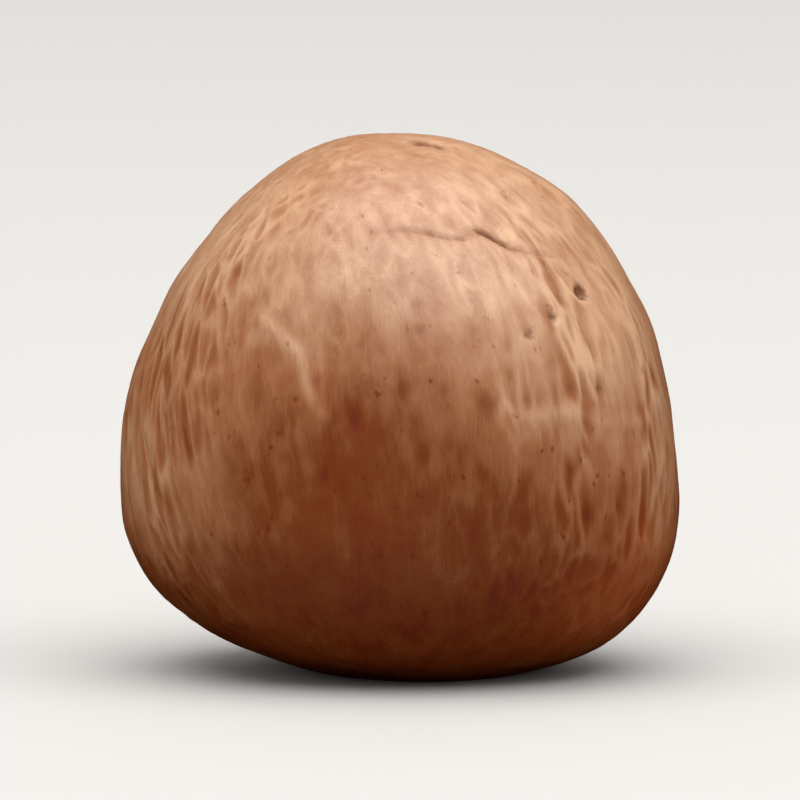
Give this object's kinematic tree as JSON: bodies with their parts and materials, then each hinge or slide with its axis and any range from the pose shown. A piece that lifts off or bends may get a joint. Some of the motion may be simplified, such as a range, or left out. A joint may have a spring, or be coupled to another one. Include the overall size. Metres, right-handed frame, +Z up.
{
  "type": "betel nut",
  "caption": "Whole dried betel nut: a bell-shaped brown seed, its hard skin sunken in long dimples between raised veins, standing on its flattened base.",
  "frame": {"origin": "on the plane that the flat base rests on, under the middle of the nut", "axes": "+Z up from the base to the tip, -Y towards the front that the picture shows, +X to the right as seen there, along the greatest width"},
  "size_m": [0.0302, 0.0294, 0.0289],
  "materials": {
    "nut_skin": "dry satin seed skin"
  },
  "bodies": {
    "root": {"betel_nut": "nut_skin"}
  },
  "joints": []
}
